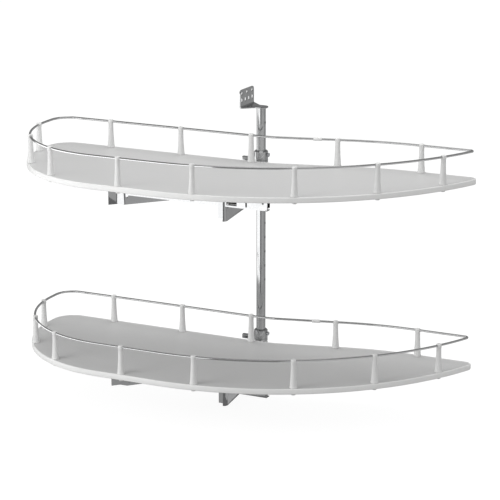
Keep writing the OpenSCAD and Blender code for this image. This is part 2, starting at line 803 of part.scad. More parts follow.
module board(top) {
  color("lightgray") difference() {
    translate([0, 0, top + under + ledge_t]) linear_extrude(tray_t - ledge_t)
      polygon(shifted(tray_line, trim_wall));
    for (s = post_stations)
      along_wire(s) translate([0, 0, top + under]) cylinder(d = peg_d + 2 * push_play, h = tray_t + over);
    for (i = [0 : screw_count - 1])
      translate([screw_x(i), screw_y, top + under]) cylinder(d = screw_d + 2 * push_play, h = screw_bite);
  }
}

// Trim with a rounded outer edge and a ledge under the board
module edge_trim(top) {
  low = top + under;
  bend = [for (a = [0 : 30 : 90]) trim_round * [1 - cos(a), 1 - sin(a)]];
  profile = concat(
    [for (b = bend) [b[0], low + b[1]]],
    [[trim_wall + ledge_w, low], [trim_wall + ledge_w, low + ledge_t]],
    [[trim_wall, low + ledge_t], [trim_wall, top]],
    [for (b = backwards(bend)) [b[0], top - b[1]]]
  );
  color(plastic) difference() {
    round_tray(profile);
    for (s = post_stations)
      along_wire(s) translate([0, 0, low - over]) cylinder(d = peg_d + 2 * push_play, h = ledge_t + 2 * over);
  }
}

// A tapered post with a head, a spigot through the tray and an eye for the wire
module fence_post() {
  height = wire_rise + post_over;
  neck_z = height - post_head_h;
  base_r = post_base_d / 2;
  head_r = post_head_d / 2;
  difference() {
    union() {
      rotate_extrude() polygon([
        [0, 0],
        [base_r, 0],
        [base_r, post_foot_h - post_chamfer],
        [base_r - post_chamfer, post_foot_h],
        [post_waist_d / 2, post_waist_h],
        [post_neck_d / 2, neck_z - post_chamfer],
        [head_r, neck_z],
        [head_r, height - post_chamfer],
        [head_r - post_chamfer, height],
        [0, height]
      ]);
      translate([0, 0, under - cap_h]) cylinder(d = peg_d, h = tray_t + cap_h);
    }
    translate([-post_base_d, 0, wire_rise]) rotate([0, 90, 0])
      cylinder(d = wire_d + 2 * wire_play, h = 2 * post_base_d);
  }
}

module posts(top) {
  color(plastic) for (s = post_stations)
    along_wire(s) translate([0, 0, top]) fence_post();
}

module post_caps(top) {
  color(plastic) for (s = post_stations)
    along_wire(s) translate([0, 0, top + under - cap_h]) difference() {
      cylinder(d = cap_d, h = cap_h);
      translate([0, 0, -over]) cylinder(d = peg_d + 2 * push_play, h = cap_h + 2 * over);
    }
}

module wire(top) {
  color(chrome) round_tray([for (a = [0 : 36 : 324])
    [wire_inset - wire_d / 2 * cos(a), top + wire_rise - wire_d / 2 * sin(a)]]);
}

module wire_sleeve(top) {
  color(plastic) along_wire(sleeve_station)
    translate([-sleeve_length / 2, 0, top + wire_rise]) rotate([0, 90, 0]) difference() {
      cylinder(d = sleeve_d, h = sleeve_length);
      translate([0, 0, -over]) cylinder(d = wire_d + 2 * wire_play, h = sleeve_length + 2 * over);
    }
}

column_tube();
foot_plate();
top_plug();
top_bracket();
top_screw();
support_collar(upper_top);  // upper_support_collar
support_collar(lower_top);  // lower_support_collar
keeper_collar(upper_top);  // upper_keeper_collar
keeper_collar(lower_top);  // lower_keeper_collar
collar_screws();
hub(upper_top);  // upper_hub
bushes(upper_top);  // upper_bushes
long_arm(upper_top);  // upper_long_arm
short_arm(upper_top);  // upper_short_arm
outer_rail(upper_top);  // upper_outer_rail
rivets(upper_top);  // upper_rivets
rail_stops(upper_top);  // upper_rail_stops
glides(upper_top);  // upper_glides
ball_cage(upper_top);  // upper_ball_cage
balls(upper_top);  // upper_balls
inner_rail(upper_top);  // upper_inner_rail
angle(upper_top);  // upper_angle
angle_screws(upper_top);  // upper_angle_screws
board(upper_top);  // upper_board
edge_trim(upper_top);  // upper_edge_trim
posts(upper_top);  // upper_posts
post_caps(upper_top);  // upper_post_caps
wire(upper_top);  // upper_wire
wire_sleeve(upper_top);  // upper_wire_sleeve
hub(lower_top);  // lower_hub
bushes(lower_top);  // lower_bushes
long_arm(lower_top);  // lower_long_arm
short_arm(lower_top);  // lower_short_arm
outer_rail(lower_top);  // lower_outer_rail
rivets(lower_top);  // lower_rivets
rail_stops(lower_top);  // lower_rail_stops
glides(lower_top);  // lower_glides
ball_cage(lower_top);  // lower_ball_cage
balls(lower_top);  // lower_balls
inner_rail(lower_top);  // lower_inner_rail
angle(lower_top);  // lower_angle
angle_screws(lower_top);  // lower_angle_screws
board(lower_top);  // lower_board
edge_trim(lower_top);  // lower_edge_trim
posts(lower_top);  // lower_posts
post_caps(lower_top);  // lower_post_caps
wire(lower_top);  // lower_wire
wire_sleeve(lower_top);  // lower_wire_sleeve
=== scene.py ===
import bpy
import bmesh
import json
import math
from mathutils import Matrix, Vector

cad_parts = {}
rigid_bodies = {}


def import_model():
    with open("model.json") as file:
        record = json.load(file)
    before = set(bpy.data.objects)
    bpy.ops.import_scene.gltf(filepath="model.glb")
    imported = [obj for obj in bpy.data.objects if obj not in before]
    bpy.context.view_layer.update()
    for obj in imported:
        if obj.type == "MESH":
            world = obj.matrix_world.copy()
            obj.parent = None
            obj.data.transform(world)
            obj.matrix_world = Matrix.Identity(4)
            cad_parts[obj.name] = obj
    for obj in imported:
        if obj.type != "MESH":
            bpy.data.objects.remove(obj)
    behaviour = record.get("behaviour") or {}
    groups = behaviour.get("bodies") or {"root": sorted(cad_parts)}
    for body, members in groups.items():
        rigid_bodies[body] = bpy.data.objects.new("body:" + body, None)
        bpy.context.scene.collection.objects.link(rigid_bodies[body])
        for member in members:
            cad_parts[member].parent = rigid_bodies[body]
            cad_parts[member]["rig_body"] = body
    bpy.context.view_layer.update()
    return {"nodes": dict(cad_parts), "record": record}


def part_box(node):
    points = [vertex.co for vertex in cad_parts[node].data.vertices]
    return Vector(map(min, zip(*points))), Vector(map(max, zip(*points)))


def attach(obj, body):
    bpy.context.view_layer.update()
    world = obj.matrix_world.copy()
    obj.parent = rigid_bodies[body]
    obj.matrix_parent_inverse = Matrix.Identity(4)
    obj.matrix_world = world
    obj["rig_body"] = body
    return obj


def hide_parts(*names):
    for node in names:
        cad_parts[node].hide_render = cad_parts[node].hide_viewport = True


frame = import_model()
nodes = frame["nodes"]
slotOf = {part["node"]: part["material_slot"] for part in frame["record"]["subparts"]}
levels = ("upper", "lower")
mm = 0.001
mergeGap = 1e-6  # metres
print("frame loaded with", len(nodes), "nodes")


# Node groups shared by the finishes

def newGroup(name, inputs, outputs):
    group = bpy.data.node_groups.new(name, "ShaderNodeTree")
    for label, value in inputs.items():
        socket = group.interface.new_socket(name=label, in_out="INPUT", socket_type="NodeSocketFloat")
        socket.default_value = value
    for label in outputs:
        group.interface.new_socket(name=label, in_out="OUTPUT", socket_type="NodeSocketFloat")
    return group, group.nodes.new("NodeGroupInput"), group.nodes.new("NodeGroupOutput")


def feed(tree, socket, value):
    # numbers and colours are set on the socket, outputs are linked to it
    if isinstance(value, (int, float)):
        socket.default_value = value
    elif isinstance(value, tuple):
        socket.default_value = (*value, 1.0)
    else:
        tree.links.new(value, socket)


def mathNode(tree, operation, *values):
    node = tree.nodes.new("ShaderNodeMath")
    node.operation = operation
    for socket, value in zip(node.inputs, values):
        feed(tree, socket, value)
    return node.outputs[0]


def noiseNode(tree, vector, scale, detail=3.0, roughness=0.55):
    node = tree.nodes.new("ShaderNodeTexNoise")
    node.inputs["Detail"].default_value = detail
    node.inputs["Roughness"].default_value = roughness
    tree.links.new(vector, node.inputs["Vector"])
    feed(tree, node.inputs["Scale"], scale)
    return node.outputs[0]


def rampNode(tree, value, low, high):
    node = tree.nodes.new("ShaderNodeMapRange")
    node.interpolation_type = "SMOOTHSTEP"
    tree.links.new(value, node.inputs["Value"])
    feed(tree, node.inputs["From Min"], low)
    feed(tree, node.inputs["From Max"], high)
    return node.outputs[0]


def objectPoint(tree, stretch=(1, 1, 1)):
    coord = tree.nodes.new("ShaderNodeTexCoord")
    mapping = tree.nodes.new("ShaderNodeMapping")
    mapping.inputs["Scale"].default_value = stretch
    tree.links.new(coord.outputs["Object"], mapping.inputs["Vector"])
    return mapping.outputs[0]


wipeMarks = {"hairs": (((26, 26, 900), 2.2), ((900, 260, 40), 1.7)), "hairDetail": 2.0,
    "cloudScale": 38.0, "cloudDetail": 4.0, "cloudRange": (0.42, 0.72)}


def buildScratches(spec):
    # hair lines in two directions and a cloudy smear between them
    tree, given, out = newGroup("wipeMarks", {"Scale": 1.0, "Smear": 0.5}, ("Height", "Smear"))
    lines = []
    for stretch, size in spec["hairs"]:
        scale = mathNode(tree, "MULTIPLY", given.outputs["Scale"], size)
        lines.append(noiseNode(tree, objectPoint(tree, stretch), scale, spec["hairDetail"]))
    cloud = noiseNode(tree, objectPoint(tree), spec["cloudScale"], spec["cloudDetail"])
    smear = mathNode(tree, "MULTIPLY", rampNode(tree, cloud, *spec["cloudRange"]), given.outputs["Smear"])
    tree.links.new(mathNode(tree, "MULTIPLY", *lines), out.inputs["Height"])
    tree.links.new(smear, out.inputs["Smear"])
    return tree


mouldSkin = {"toneDetail": 5.0, "toneRough": 0.6}


def buildGrain(spec):
    # fine pebbled skin of a moulding, with slow cloudy tone
    tree, given, out = newGroup("mouldSkin", {"Grain": 1800.0, "Cloud": 14.0}, ("Height", "Tone"))
    point = objectPoint(tree)
    cells = tree.nodes.new("ShaderNodeTexVoronoi")
    cells.feature = "SMOOTH_F1"
    tree.links.new(point, cells.inputs["Vector"])
    tree.links.new(given.outputs["Grain"], cells.inputs["Scale"])
    tone = noiseNode(tree, point, given.outputs["Cloud"], spec["toneDetail"], spec["toneRough"])
    tree.links.new(cells.outputs["Distance"], out.inputs["Height"])
    tree.links.new(tone, out.inputs["Tone"])
    return tree


settledDust = {"upward": (0.35, 0.95), "speckScale": 620.0, "speckDetail": 6.0, "speckRough": 0.7,
    "speckRange": (0.5, 0.8), "patchScale": 9.0, "patchRange": (0.35, 0.75)}


def buildDust(spec):
    # light dust that lies on what faces up
    tree, given, out = newGroup("settledDust", {"Amount": 0.3}, ("Mask",))
    shape = tree.nodes.new("ShaderNodeNewGeometry")
    axes = tree.nodes.new("ShaderNodeSeparateXYZ")
    tree.links.new(shape.outputs["Normal"], axes.inputs[0])
    upward = rampNode(tree, axes.outputs["Z"], *spec["upward"])
    specks = noiseNode(tree, objectPoint(tree), spec["speckScale"], spec["speckDetail"], spec["speckRough"])
    patches = noiseNode(tree, objectPoint(tree), spec["patchScale"])
    speckled = mathNode(tree, "MULTIPLY", upward, rampNode(tree, specks, *spec["speckRange"]))
    both = mathNode(tree, "MULTIPLY", speckled, rampNode(tree, patches, *spec["patchRange"]))
    tree.links.new(mathNode(tree, "MULTIPLY", both, given.outputs["Amount"]), out.inputs["Mask"])
    return tree


rubbedRims = {"breakScale": 240.0, "breakDetail": 4.0, "breakRange": (0.3, 0.7)}


def buildEdgeRub(spec):
    # worn rims, from how sharply the surface turns
    tree, given, out = newGroup("rubbedRims", {"Low": 0.53, "High": 0.6}, ("Mask",))
    shape = tree.nodes.new("ShaderNodeNewGeometry")
    rims = rampNode(tree, shape.outputs["Pointiness"], given.outputs["Low"], given.outputs["High"])
    breaks = noiseNode(tree, objectPoint(tree), spec["breakScale"], spec["breakDetail"])
    broken = mathNode(tree, "MULTIPLY", rims, rampNode(tree, breaks, *spec["breakRange"]))
    tree.links.new(broken, out.inputs["Mask"])
    return tree


groups = {"wipeMarks": buildScratches(wipeMarks), "mouldSkin": buildGrain(mouldSkin),
    "settledDust": buildDust(settledDust), "rubbedRims": buildEdgeRub(rubbedRims)}
print("shared effects built:", ", ".join(groups))


# Finishes

def newFinish(name):
    material = bpy.data.materials.new(name)
    material.use_nodes = True
    tree = material.node_tree
    return material, tree, tree.nodes["Principled BSDF"]


def placeGroup(tree, name, **values):
    node = tree.nodes.new("ShaderNodeGroup")
    node.node_tree = groups[name]
    for label, value in values.items():
        node.inputs[label].default_value = value
    return node


def mixColour(tree, mask, first, second):
    node = tree.nodes.new("ShaderNodeMix")
    node.data_type = "RGBA"
    tree.links.new(mask, node.inputs["Factor"])
    feed(tree, node.inputs["A"], first)
    feed(tree, node.inputs["B"], second)
    return node.outputs["Result"]


def rubbedOver(tree, colour, spec):
    rims = placeGroup(tree, "rubbedRims")
    return mixColour(tree, rims.outputs["Mask"], colour, spec["rimColour"])


def dustedTo(tree, shader, colour, spec):
    dust = placeGroup(tree, "settledDust", Amount=spec["dust"])
    dusted = mixColour(tree, dust.outputs["Mask"], colour, spec["dustColour"])
    tree.links.new(dusted, shader.inputs["Base Color"])


def roughTo(tree, shader, mask, spec):
    rough = mathNode(tree, "MULTIPLY_ADD", mask, spec["roughSpread"], spec["rough"])
    tree.links.new(rough, shader.inputs["Roughness"])


def bumpTo(tree, shader, height, strength, distance):
    bump = tree.nodes.new("ShaderNodeBump")
    bump.inputs["Strength"].default_value = strength
    bump.inputs["Distance"].default_value = distance
    tree.links.new(height, bump.inputs["Height"])
    tree.links.new(bump.outputs[0], shader.inputs["Normal"])


bumpDepth = {"metal": 0.00006, "mould": 0.00005, "board": 0.00004}  # metres
mouldToneRange = (0.3, 0.7)


def metalFinish(name, spec):
    material, tree, shader = newFinish(name)
    shader.inputs["Metallic"].default_value = 1.0
    marks = placeGroup(tree, "wipeMarks", Scale=spec["markScale"], Smear=spec["smear"])
    clean = mixColour(tree, marks.outputs["Smear"], spec["colour"], spec["smearColour"])
    dustedTo(tree, shader, rubbedOver(tree, clean, spec), spec)
    roughTo(tree, shader, marks.outputs["Smear"], spec)
    bumpTo(tree, shader, marks.outputs["Height"], spec["bump"], bumpDepth["metal"])
    return material


def mouldFinish(name, spec):
    material, tree, shader = newFinish(name)
    shader.inputs["IOR"].default_value = spec["ior"]
    skin = placeGroup(tree, "mouldSkin", Grain=spec["grain"], Cloud=spec["cloud"])
    tone = rampNode(tree, skin.outputs["Tone"], *mouldToneRange)
    base = mixColour(tree, tone, spec["colour"], spec["toneColour"])
    dustedTo(tree, shader, rubbedOver(tree, base, spec), spec)
    roughTo(tree, shader, skin.outputs["Tone"], spec)
    bumpTo(tree, shader, skin.outputs["Height"], spec["bump"], bumpDepth["mould"])
    return material


def boardFinish(name, spec):
    # melamine face: pearl print of fine flecks under a satin film
    material, tree, shader = newFinish(name)
    shader.inputs["Coat Roughness"].default_value = spec["filmRough"]
    flecks = noiseNode(tree, objectPoint(tree), spec["fleck"], spec["fleckDetail"], spec["fleckRough"])
    streaks = noiseNode(tree, objectPoint(tree, spec["streakStretch"]), spec["streak"], spec["streakDetail"])
    skin = placeGroup(tree, "mouldSkin", Grain=spec["grain"], Cloud=spec["cloud"])
    base = mixColour(tree, rampNode(tree, flecks, *spec["fleckRange"]), spec["colour"], spec["fleckColour"])
    soft = mathNode(tree, "MULTIPLY", rampNode(tree, streaks, *spec["streakRange"]), spec["streakShare"])
    dustedTo(tree, shader, mixColour(tree, soft, base, spec["streakColour"]), spec)
    roughTo(tree, shader, skin.outputs["Tone"], spec)
    film = mathNode(tree, "MULTIPLY", skin.outputs["Tone"], spec["film"])
    tree.links.new(film, shader.inputs["Coat Weight"])
    bumpTo(tree, shader, skin.outputs["Height"], spec["bump"], bumpDepth["board"])
    return material


finishes = {
    "chromed_steel": metalFinish("chromePlate", {
        "colour": (0.55, 0.555, 0.56), "smearColour": (0.51, 0.517, 0.525), "rimColour": (0.62, 0.625, 0.63),
        "dustColour": (0.55, 0.55, 0.54), "rough": 0.07, "roughSpread": 0.1, "smear": 0.5, "markScale": 1.0,
        "dust": 0.25, "bump": 0.12}),
    "fence_wire": metalFinish("brightWire", {
        "colour": (0.82, 0.823, 0.826), "smearColour": (0.76, 0.765, 0.77), "rimColour": (0.86, 0.862, 0.865),
        "dustColour": (0.72, 0.72, 0.71), "rough": 0.09, "roughSpread": 0.1, "smear": 0.4, "markScale": 1.3,
        "dust": 0.2, "bump": 0.1}),
    "bright_steel": metalFinish("zincSteel", {
        "colour": (0.7, 0.71, 0.73), "smearColour": (0.6, 0.62, 0.65), "rimColour": (0.8, 0.81, 0.82),
        "dustColour": (0.66, 0.66, 0.65), "rough": 0.22, "roughSpread": 0.2, "smear": 0.8, "markScale": 1.6,
        "dust": 0.2, "bump": 0.25}),
    # dark oiled steel, partly real grease and partly painted shade of the hollow inside the slide rail
    "greased_shaded_steel": metalFinish("greasedShadedSteel", {
        "colour": (0.2, 0.198, 0.19), "smearColour": (0.15, 0.147, 0.138), "rimColour": (0.34, 0.338, 0.33),
        "dustColour": (0.24, 0.24, 0.23), "rough": 0.38, "roughSpread": 0.2, "smear": 0.9, "markScale": 1.2,
        "dust": 0.15, "bump": 0.2}),
    # bare steel for the bore and the holes' walls, darkened to near black as painted shade inside them
    "bare_shaded_bore": metalFinish("bareShadedBore", {
        "colour": (0.09, 0.086, 0.082), "smearColour": (0.06, 0.056, 0.052), "rimColour": (0.2, 0.198, 0.19),
        "dustColour": (0.12, 0.118, 0.112), "rough": 0.5, "roughSpread": 0.2, "smear": 0.8, "markScale": 0.8,
        "dust": 0.1, "bump": 0.3}),
    "tray_board": boardFinish("pearlBoard", {
        "colour": (0.589, 0.589, 0.588), "fleckColour": (0.628, 0.628, 0.627), "fleck": 900.0,
        "fleckDetail": 6.0, "fleckRough": 0.75, "fleckRange": (0.36, 0.68),
        "streakColour": (0.578, 0.578, 0.577), "streak": 9.0, "streakStretch": (6, 60, 60),
        "streakDetail": 4.0, "streakRange": (0.35, 0.7), "streakShare": 0.5,
        "dustColour": (0.68, 0.68, 0.67), "dust": 0.25, "grain": 1500.0, "cloud": 6.0, "rough": 0.42,
        "roughSpread": 0.16, "film": 0.25, "filmRough": 0.35, "bump": 0.18}),
    "edge_trim": mouldFinish("trimMoulding", {
        "colour": (0.88, 0.881, 0.876), "toneColour": (0.855, 0.857, 0.852), "rimColour": (0.9, 0.9, 0.896),
        "dustColour": (0.72, 0.72, 0.7), "grain": 2200.0, "cloud": 16.0, "dust": 0.3, "rough": 0.34,
        "roughSpread": 0.14, "bump": 0.15, "ior": 1.48}),
    "white_plastic": mouldFinish("postMoulding", {
        "colour": (0.8, 0.801, 0.798), "toneColour": (0.772, 0.774, 0.771), "rimColour": (0.83, 0.83, 0.827),
        "dustColour": (0.66, 0.66, 0.645), "grain": 2600.0, "cloud": 40.0, "dust": 0.3, "rough": 0.3,
        "roughSpread": 0.16, "bump": 0.15, "ior": 1.5}),
    "black_plastic": mouldFinish("stopMoulding", {
        "colour": (0.03, 0.03, 0.031), "toneColour": (0.045, 0.045, 0.046), "rimColour": (0.09, 0.09, 0.09),
        "dustColour": (0.2, 0.2, 0.19), "grain": 2000.0, "cloud": 50.0, "dust": 0.35, "rough": 0.45,
        "roughSpread": 0.2, "bump": 0.25, "ior": 1.5})}
print("finishes mixed:", ", ".join(finishes))


# Mesh helpers, with profiles and outlines in millimetres

def smoothed(piece, sharp):
    for face in piece.data.polygons:
        face.use_smooth = True
    piece.data.set_sharp_from_angle(angle=math.radians(sharp))


def makePiece(name, bm, body, slot, replaced=(), sharp=30, finish=None):
    bmesh.ops.recalc_face_normals(bm, faces=bm.faces)
    mesh = bpy.data.meshes.new(name)
    bm.to_mesh(mesh)
    bm.free()
    mesh.materials.append(finishes[finish or slot])
    piece = bpy.data.objects.new(name, mesh)
    bpy.context.scene.collection.objects.link(piece)
    smoothed(piece, sharp)
    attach(piece, body)
    if replaced:
        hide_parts(*replaced)
    return piece


def ringStrip(bm, rings, closed):
    # quads between rows of points of equal count
    rows = [[bm.verts.new(point) for point in ring] for ring in rings]
    pairs = list(zip(rows, rows[1:])) + ([(rows[-1], rows[0])] if closed else [])
    for first, second in pairs:
        count = len(first)
        for i in range(count):
            bm.faces.new((first[i], first[(i + 1) % count], second[(i + 1) % count], second[i]))
    return rows


def cappedStack(bm, rings):
    # a solid of rings, closed by a face at both ends
    rows = ringStrip(bm, rings, False)
    bm.faces.new(rows[0])
    bm.faces.new(rows[-1])


def ringsRound(profile, place, around):
    # a ring about the local Z of place for each (radius, height) pair
    rings = []
    for radius, height in profile:
        reach, ring = radius * mm, []
        for k in range(around):
            angle = 2 * math.pi * k / around
            ring.append(place @ Vector((reach * math.cos(angle), reach * math.sin(angle), height * mm)))
        rings.append(ring)
    return rings


def lathe(bm, profile, place, around):
    # an open profile, turned into a solid
    cappedStack(bm, ringsRound(profile, place, around))


def turnedRing(bm, profile, place, around):
    # a closed profile, turned into a ring
    ringStrip(bm, ringsRound(profile, place, around), True)


roundWall = {"steep": 0.05, "along": 0.93}


def trueRound(piece):
    # exact normals for walls that are round about the column's axis
    mesh = piece.data
    normals = []
    for face in mesh.polygons:
        flat = math.hypot(face.normal.x, face.normal.y)
        for corner in face.vertices:
            point = mesh.vertices[corner].co
            out = Vector((point.x, point.y, 0)).normalized()
            lean = out.dot(face.normal)
            if flat > roundWall["steep"] and abs(lean) > roundWall["along"] * flat:
                normals.append(out * math.copysign(flat, lean) + Vector((0, 0, face.normal.z)))
            else:
                normals.append(face.normal.copy())
    mesh.normals_split_custom_set(normals)


def cutAway(piece, cutters):
    # takes closed cutter meshes out of a piece
    mesh = bpy.data.meshes.new("cutters")
    bmesh.ops.recalc_face_normals(cutters, faces=cutters.faces)
    cutters.to_mesh(mesh)
    cutters.free()
    tool = bpy.data.objects.new("cutters", mesh)
    bpy.context.scene.collection.objects.link(tool)
    change = piece.modifiers.new("cut", "BOOLEAN")
    change.operation = "DIFFERENCE"
    change.solver = "EXACT"
    change.object = tool
    bpy.context.view_layer.update()
    shaped = bpy.data.meshes.new_from_object(piece.evaluated_get(bpy.context.evaluated_depsgraph_get()))
    piece.modifiers.clear()
    piece.data = shaped
    bpy.data.objects.remove(tool)


def turnedAt(x, y, z, heading=0.0):
    return Matrix.Translation((x, y, z)) @ Matrix.Rotation(heading, 4, "Z")


def roundedLine(corners, step, fewest=3):
    # a closed outline with its corners rounded, as points with their inward normals
    line = []
    count = len(corners)
    for i, (x, y, radius) in enumerate(corners):
        here = Vector((x, y))
        before = (here - Vector(corners[i - 1][:2])).normalized()
        after = (Vector(corners[(i + 1) % count][:2]) - here).normalized()
        turn = math.atan2(before.cross(after), before.dot(after))
        side = math.copysign(1, turn)
        inward = Vector((-before.y, before.x))
        start = here - before * radius * math.tan(abs(turn) / 2)
        centre = start + inward * radius * side
        parts = max(fewest, math.ceil(abs(math.degrees(turn)) / step))
        for k in range(parts + 1):
            angle = turn * k / parts
            normal = Vector((inward.x * math.cos(angle) - inward.y * math.sin(angle),
                inward.x * math.sin(angle) + inward.y * math.cos(angle)))
            line.append((centre - normal * radius * side, normal))
    return line


def insetPoint(point, normal, inset, height):
    return Vector((point.x + normal.x * inset, point.y + normal.y * inset, height)) * mm


def insetRings(line, steps):
    # a ring along an outline for each (inset, height) pair
    return [[insetPoint(point, normal, inset, height) for point, normal in line] for inset, height in steps]


def placesAlong(points, shares):
    # points and headings at shares, in percent, of a closed line's length
    runs = [points[(i + 1) % len(points)] - points[i] for i in range(len(points))]
    total = sum(run.length for run in runs)
    found = []
    for share in shares:
        left = total * share / 100
        for point, run in zip(points, runs):
            if left <= run.length:
                spot = point + run * (left / run.length)
                found.append((spot.x, spot.y, math.atan2(run.y, run.x)))
                break
            left -= run.length
    return found


easing = {"flatTurn": 0.8, "hardTurn": 32, "segments": 2, "shape": 0.5}


def softened(node, width, finish=None):
    # a copy of a CAD node with its hard edges rounded over
    source = nodes[node]
    bm = bmesh.new()
    bm.from_mesh(source.data)
    bmesh.ops.remove_doubles(bm, verts=bm.verts, dist=mergeGap)
    bmesh.ops.dissolve_limit(bm, angle_limit=math.radians(easing["flatTurn"]), verts=bm.verts, edges=bm.edges)
    hard = [edge for edge in bm.edges if len(edge.link_faces) == 2
        and edge.calc_face_angle() > math.radians(easing["hardTurn"])]
    bmesh.ops.bevel(bm, geom=hard, offset=width * mm, offset_type="OFFSET", segments=easing["segments"],
        profile=easing["shape"], affect="EDGES", clamp_overlap=True)
    makePiece(node + "_finished", bm, source["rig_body"], slotOf[node], (node,), finish=finish)


# Trays

neck = {"x": 37, "low": -31.5, "high": 29.5, "slope": 14.5}
neckEnd = neck["x"] + (neck["high"] - neck["low"]) / math.tan(math.radians(neck["slope"]))
trayShape = {
    "corners": [(-486, neck["low"], 50), (-486, -371.5, 272), (333, -371.5, 600), (495, neck["high"], 16),
        (neckEnd, neck["high"], 600), (neck["x"], neck["low"], 180)],
    "step": 1.5, "thick": 12, "trimWall": 3, "trimRound": 2, "bendStep": 15, "trimSharp": 40,
    "ledgeThick": 1.5, "ledgeWide": 5, "ledgeEase": 0.3, "skin": 0.12, "seam": 0.35}
trayLine = roundedLine(trayShape["corners"], trayShape["step"])


def sweepRound(bm, profile):
    # a closed profile of (inset, height) carried round the tray
    rings = []
    for point, normal in trayLine:
        rings.append([insetPoint(point, normal, inset, height) for inset, height in profile])
    ringStrip(bm, rings, True)


def trimProfile(spec, top):
    low, bow, seam, ease = top - spec["thick"], spec["trimRound"], spec["seam"], spec["ledgeEase"]
    wall, ledge, ledgeTop = spec["trimWall"], spec["trimWall"] + spec["ledgeWide"], low + spec["ledgeThick"]
    bend = [math.radians(angle) for angle in range(0, 91, spec["bendStep"])]
    nose = [(spec["skin"] + bow * (1 - math.cos(angle)), bow * (1 - math.sin(angle))) for angle in bend]
    profile = [(inset, low + height) for inset, height in nose]
    profile += [(ledge - ease, low), (ledge, low + ease), (ledge, ledgeTop), (wall, ledgeTop),
        (wall, top - seam), (wall - seam, top)]
    return profile + [(inset, top - height) for inset, height in reversed(nose)]


def boardSteps(spec, top):
    wall, seam, low = spec["trimWall"], spec["seam"], top - spec["thick"] + spec["ledgeThick"]
    return (wall, low), (wall, top - seam), (wall + seam, top)


for level in levels:
    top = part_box(level + "_board")[1].z / mm
    bm = bmesh.new()
    sweepRound(bm, trimProfile(trayShape, top))
    makePiece(level + "_trim_moulding", bm, level + "_tray", "edge_trim", (level + "_edge_trim",),
        trayShape["trimSharp"])
    bm = bmesh.new()
    cappedStack(bm, insetRings(trayLine, boardSteps(trayShape, top)))
    makePiece(level + "_faced_board", bm, level + "_tray", "tray_board", (level + "_board",))
print("trays laid")


# Fence

fence = {"inset": 9, "rise": 58, "wireRadius": 2.5, "wireAround": 20, "wireSharp": 60,
    "shares": [5.5, 10.9, 16.6, 24.5, 31.9, 41.1, 48.7, 55.6, 64.5, 72.6, 81, 88.5, 96.2],
    "post": [(2.6, -15), (3, -14.6), (3, 0), (7.6, 0), (8.15, 0.3), (8.25, 0.8), (8.25, 2.2), (8.1, 2.8),
        (7.75, 3.2), (7.55, 5.2), (7.0, 12), (6.55, 18), (6.1, 24.5), (5.8, 31), (5.5, 40), (5.3, 48),
        (5.25, 52.8), (5.45, 53.5), (5.7, 54), (5.75, 54.7), (5.75, 59.9), (5.6, 60.8), (5.2, 61.5),
        (4.4, 61.9), (3.0, 62)],
    "postAround": 28, "eye": 2.85, "eyeReach": 8, "eyeAround": 20, "mouldSharp": 45,
    "cap": [(3.05, -15), (4.5, -14.9), (4.9, -14.4), (5, -13.7), (5, -12), (3.05, -12)], "capAround": 24,
    "sleeveShare": 74.5, "sleeveLength": 18, "sleeveRadius": 3.75, "sleeveAround": 28,
    "sleeveEase": [(0.5, 0), (0.15, 0.3), (0, 0.9)]}
wireLine = [point + normal * fence["inset"] for point, normal in trayLine]
postPlaces = placesAlong(wireLine, fence["shares"])
sleevePlace = placesAlong(wireLine, [fence["sleeveShare"]])[0]


def alongWire(x, y, heading, top):
    # a place on the wire, with its local Z along it
    spot = Vector((x * mm, y * mm, top + fence["rise"] * mm))
    return Matrix.Translation(spot) @ Matrix.Rotation(heading, 4, "Z") @ Matrix.Rotation(math.pi / 2, 4, "Y")


def wireProfile(spec, height):
    turns = [2 * math.pi * k / spec["wireAround"] for k in range(spec["wireAround"])]
    radius = spec["wireRadius"]
    return [(spec["inset"] - radius * math.cos(turn), height - radius * math.sin(turn)) for turn in turns]


def sleeveProfile(spec):
    # the ease gives steps in from the radius and from the end
    half = spec["sleeveLength"] / 2
    end = [(spec["eye"], -half)] + [(spec["sleeveRadius"] - a, b - half) for a, b in spec["sleeveEase"]]
    return end + [(radius, -height) for radius, height in reversed(end)]


def buildFence(level, spec):
    body, moulded = level + "_tray", "white_plastic"
    top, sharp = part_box(level + "_board")[1].z, spec["mouldSharp"]
    bm = bmesh.new()
    sweepRound(bm, wireProfile(spec, top / mm + spec["rise"]))
    makePiece(level + "_rail_wire", bm, body, "chromed_steel", (level + "_wire",), spec["wireSharp"],
        "fence_wire")
    eye = [(spec["eye"], -spec["eyeReach"]), (spec["eye"], spec["eyeReach"])]
    bm, eyes, caps = bmesh.new(), bmesh.new(), bmesh.new()
    for x, y, heading in postPlaces:
        foot = turnedAt(x * mm, y * mm, top, heading)
        lathe(bm, spec["post"], foot, spec["postAround"])
        lathe(eyes, eye, alongWire(x, y, heading, top), spec["eyeAround"])
        turnedRing(caps, spec["cap"], foot, spec["capAround"])
    posts = makePiece(level + "_turned_posts", bm, body, moulded, (level + "_posts",), sharp)
    cutAway(posts, eyes)
    smoothed(posts, sharp)
    makePiece(level + "_peg_caps", caps, body, moulded, (level + "_post_caps",), sharp)
    bm = bmesh.new()
    turnedRing(bm, sleeveProfile(spec), alongWire(*sleevePlace, top), spec["sleeveAround"])
    makePiece(level + "_joining_sleeve", bm, body, moulded, (level + "_wire_sleeve",), sharp)


for level in levels:
    buildFence(level, fence)
print("fences set up with", len(postPlaces), "posts each")


# Steelwork

def plainRing(spec, low, high):
    bore, radius, cut = spec["bore"], spec["radius"], spec["ease"]
    return [(bore, low), (radius - cut, low), (radius, low + cut), (radius, high - cut), (radius - cut, high),
        (bore, high)]


column = {"radius": 10, "bore": 8.5, "ease": 0.4, "around": 96, "plateDepth": 0.2, "plateEnd": 1.0,
    "holeRadius": 2.5, "holePitch": 32, "holeCount": 12, "holeFrom": 2, "holeTo": 14, "holeAround": 24}


